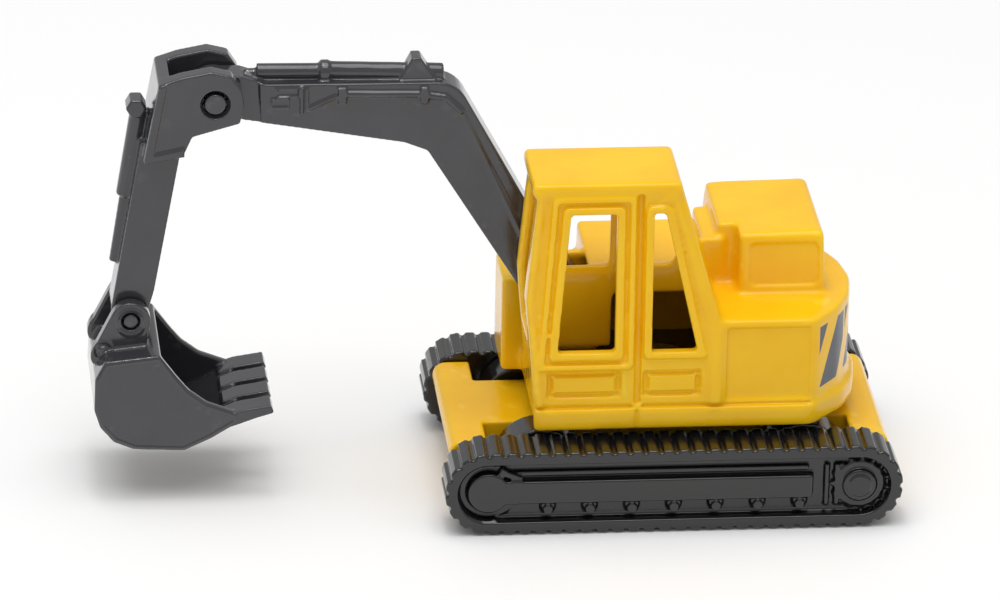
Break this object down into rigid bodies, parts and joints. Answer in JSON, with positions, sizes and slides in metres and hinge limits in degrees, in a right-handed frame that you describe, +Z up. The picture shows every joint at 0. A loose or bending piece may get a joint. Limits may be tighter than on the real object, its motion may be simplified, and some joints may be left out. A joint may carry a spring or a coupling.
{
  "type": "toy excavator",
  "caption": "Small die-cast and plastic toy crawler excavator with an open-window cab, fixed tracks over hidden wheels, and a boom, stick and bucket that all pivot.",
  "frame": {"origin": "bottom centre of the bounding box, with the arm as it rests, on the surface that the wheels stand on", "axes": "+X forward to the bucket, +Y to the machine's left, the cab's side, +Z up"},
  "size_m": [0.0956, 0.036, 0.0537],
  "materials": {
    "yellow_enamel": "glossy enamel, rounded edges",
    "black_plastic": "glossy moulded plastic",
    "steel": "bright plated steel"
  },
  "bodies": {
    "undercarriage": {"chassis_frame": "yellow_enamel", "left_track": "black_plastic", "right_track": "black_plastic", "base_plate": "black_plastic", "base_rivet_front": "steel", "base_rivet_rear": "steel", "slew_rivet": "steel", "slew_washer": "steel"},
    "front_wheels": {"front_axle": "steel", "front_left_wheel": "black_plastic", "front_right_wheel": "black_plastic"},
    "rear_wheels": {"rear_axle": "steel", "rear_left_wheel": "black_plastic", "rear_right_wheel": "black_plastic"},
    "house": {"house_shell": "yellow_enamel", "floor_plate": "black_plastic", "floor_rivet": "steel", "boom_pin": "steel"},
    "boom": {"boom": "black_plastic"},
    "stick": {"stick": "black_plastic", "stick_pin": "black_plastic"},
    "bucket": {"bucket": "black_plastic", "bucket_pin": "black_plastic"}
  },
  "joints": [
    {"name": "house_slew", "type": "hinge", "parent": "undercarriage", "child": "house", "pos_m": [-0.02054, 0, 0.0114], "axis": [0, 0, 1], "continuous": true},
    {"name": "boom_lift", "type": "hinge", "parent": "house", "child": "boom", "pos_m": [-0.01054, -0.00175, 0.0195], "axis": [0, -1, 0], "range_deg": [-7, 12]},
    {"name": "stick_swing", "type": "hinge", "parent": "boom", "child": "stick", "pos_m": [0.03316, -0.00175, 0.0496], "axis": [0, -1, 0], "range_deg": [-30, 45]},
    {"name": "bucket_curl", "type": "hinge", "parent": "stick", "child": "bucket", "pos_m": [0.04306, -0.00175, 0.022], "axis": [0, -1, 0], "range_deg": [-45, 55]},
    {"name": "front_axle_spin", "type": "hinge", "parent": "undercarriage", "child": "front_wheels", "pos_m": [-0.00524, 0, 0.0054], "axis": [0, 1, 0], "continuous": true},
    {"name": "rear_axle_spin", "type": "hinge", "parent": "undercarriage", "child": "rear_wheels", "pos_m": [-0.03654, 0, 0.0054], "axis": [0, 1, 0], "continuous": true}
  ]
}
